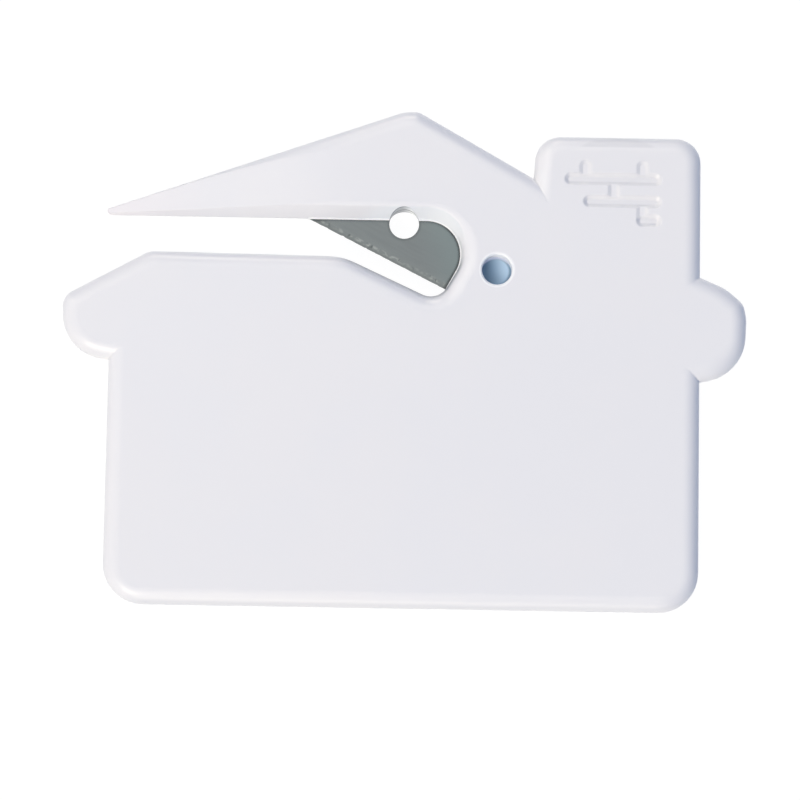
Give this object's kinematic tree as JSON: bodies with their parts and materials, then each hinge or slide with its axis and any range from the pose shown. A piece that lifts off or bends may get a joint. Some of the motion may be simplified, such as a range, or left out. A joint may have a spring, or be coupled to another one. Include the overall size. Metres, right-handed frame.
{
  "type": "hand letter slitter",
  "caption": "House-shaped flat plastic letter slitter with a moulded-in steel blade across a slot under one roof slope, for slitting the flaps of envelopes by hand.",
  "frame": {"origin": "centre of the bounding box's bottom: the slitter lies on its flat back, centred on the house's width and height", "axes": "+X runs across the house from the nose's side to the chimney's side, +Y from the house's base up to the roof's apex, +Z out of the front face"},
  "size_m": [0.078, 0.0568, 0.004],
  "materials": {
    "body_plastic": "satin white polystyrene, faintly translucent at the thin nose",
    "blade_steel": "cold-rolled strip steel, grey, with a ground cutting edge"
  },
  "bodies": {
    "root": {"moulded_body": "body_plastic", "slitter_blade": "blade_steel"}
  },
  "joints": []
}
